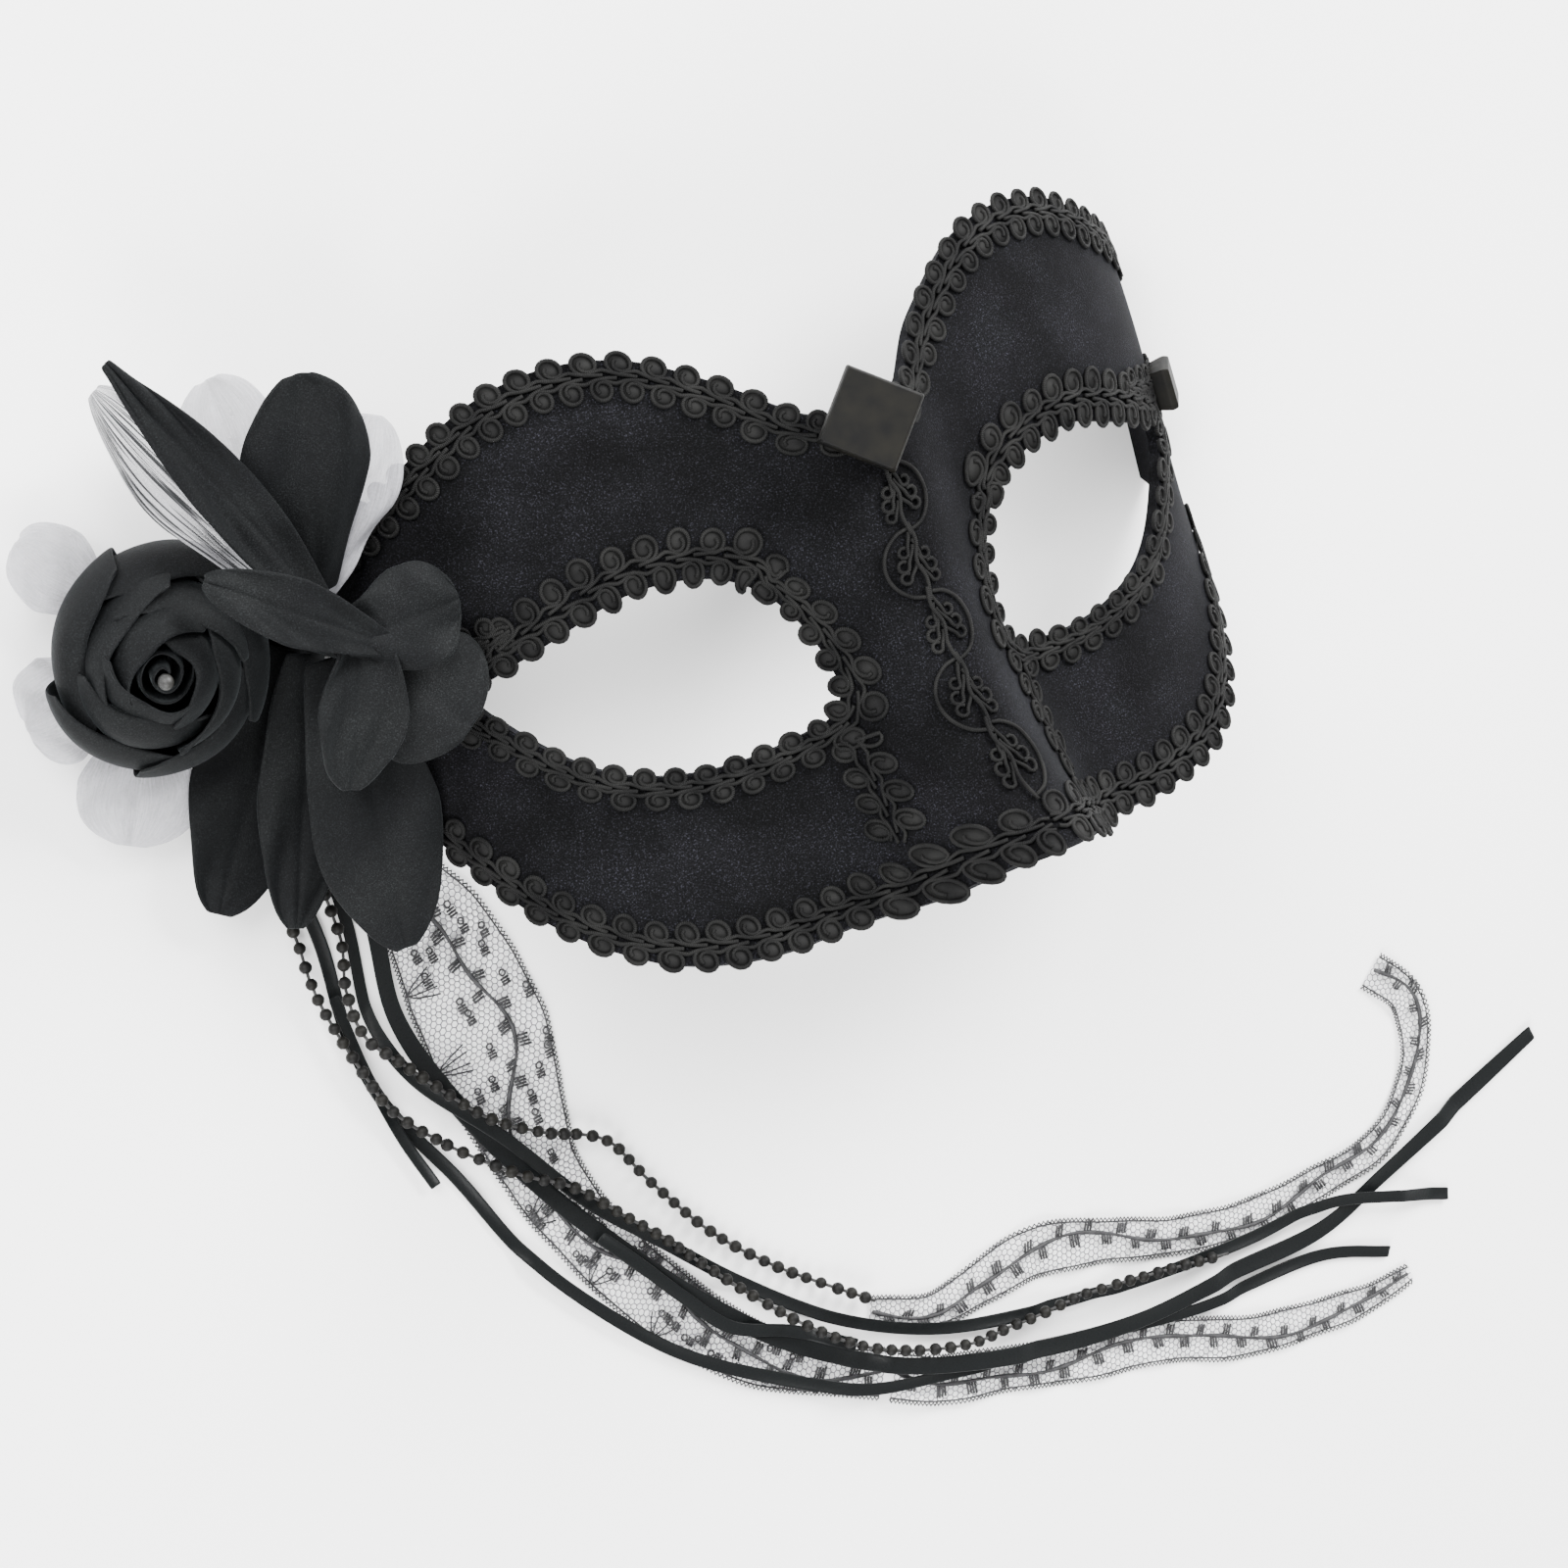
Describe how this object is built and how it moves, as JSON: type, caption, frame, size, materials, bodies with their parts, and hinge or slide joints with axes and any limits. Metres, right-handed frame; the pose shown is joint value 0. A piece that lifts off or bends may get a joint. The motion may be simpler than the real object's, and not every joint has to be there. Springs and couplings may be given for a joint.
{
  "type": "velvet eye mask",
  "caption": "Black velvet half mask with gimp braid on rim, eye holes and nose, cut stones, a fabric flower at one temple and tails of lace, satin ribbon and bead strings.",
  "frame": {"origin": "on the floor below the middle of the box round all but the loose satin ribbons", "axes": "+Z away from the wearer's face, up as it lies; +Y towards the brow; +X towards the temple without the flower"},
  "size_m": [0.2955, 0.2824, 0.0928],
  "materials": {
    "velvet": "velvet pile",
    "braid": "matte cord",
    "stone": "glossy",
    "bead": "glossy",
    "petal_cloth": "soft satin",
    "organza": "sheer",
    "lace": "open net",
    "satin": "satin"
  },
  "bodies": {
    "root": {"mask_shell": "velvet", "rim_braid_upper_near": "braid", "rim_braid_upper_far": "braid", "rim_braid_lower_near": "braid", "rim_braid_lower_far": "braid", "eye_braid_near": "braid", "eye_braid_far": "braid", "nose_side_braid_near": "braid", "nose_side_braid_far": "braid", "nose_scroll_braid": "braid", "centre_stone": "stone", "temple_stone": "stone", "flower_base": "petal_cloth", "rose_outer_cup": "petal_cloth", "rose_middle_cup": "petal_cloth", "rose_inner_cup": "petal_cloth", "rose_bud": "petal_cloth", "rose_centre_bead": "bead", "upright_petal": "petal_cloth", "pointed_petal": "petal_cloth", "streaked_petal": "petal_cloth", "temple_petal_upper": "petal_cloth", "temple_petal_lower": "petal_cloth", "middle_petal": "petal_cloth", "low_petal_left": "petal_cloth", "low_petal_middle": "petal_cloth", "low_petal_right": "petal_cloth", "fold_petal": "petal_cloth", "sheer_petal_top": "organza", "sheer_petal_right": "organza", "sheer_petal_left": "organza", "sheer_petal_side": "organza", "sheer_petal_low": "organza", "lace_wide": "lace", "lace_tail_low": "lace", "lace_tail_top": "lace", "satin_ribbon_lower": "satin", "satin_ribbon_short": "satin", "satin_ribbon_wide": "satin", "satin_ribbon_main": "satin", "satin_ribbon_middle": "satin", "bead_string_long": "bead", "bead_string_short": "bead"}
  },
  "joints": []
}
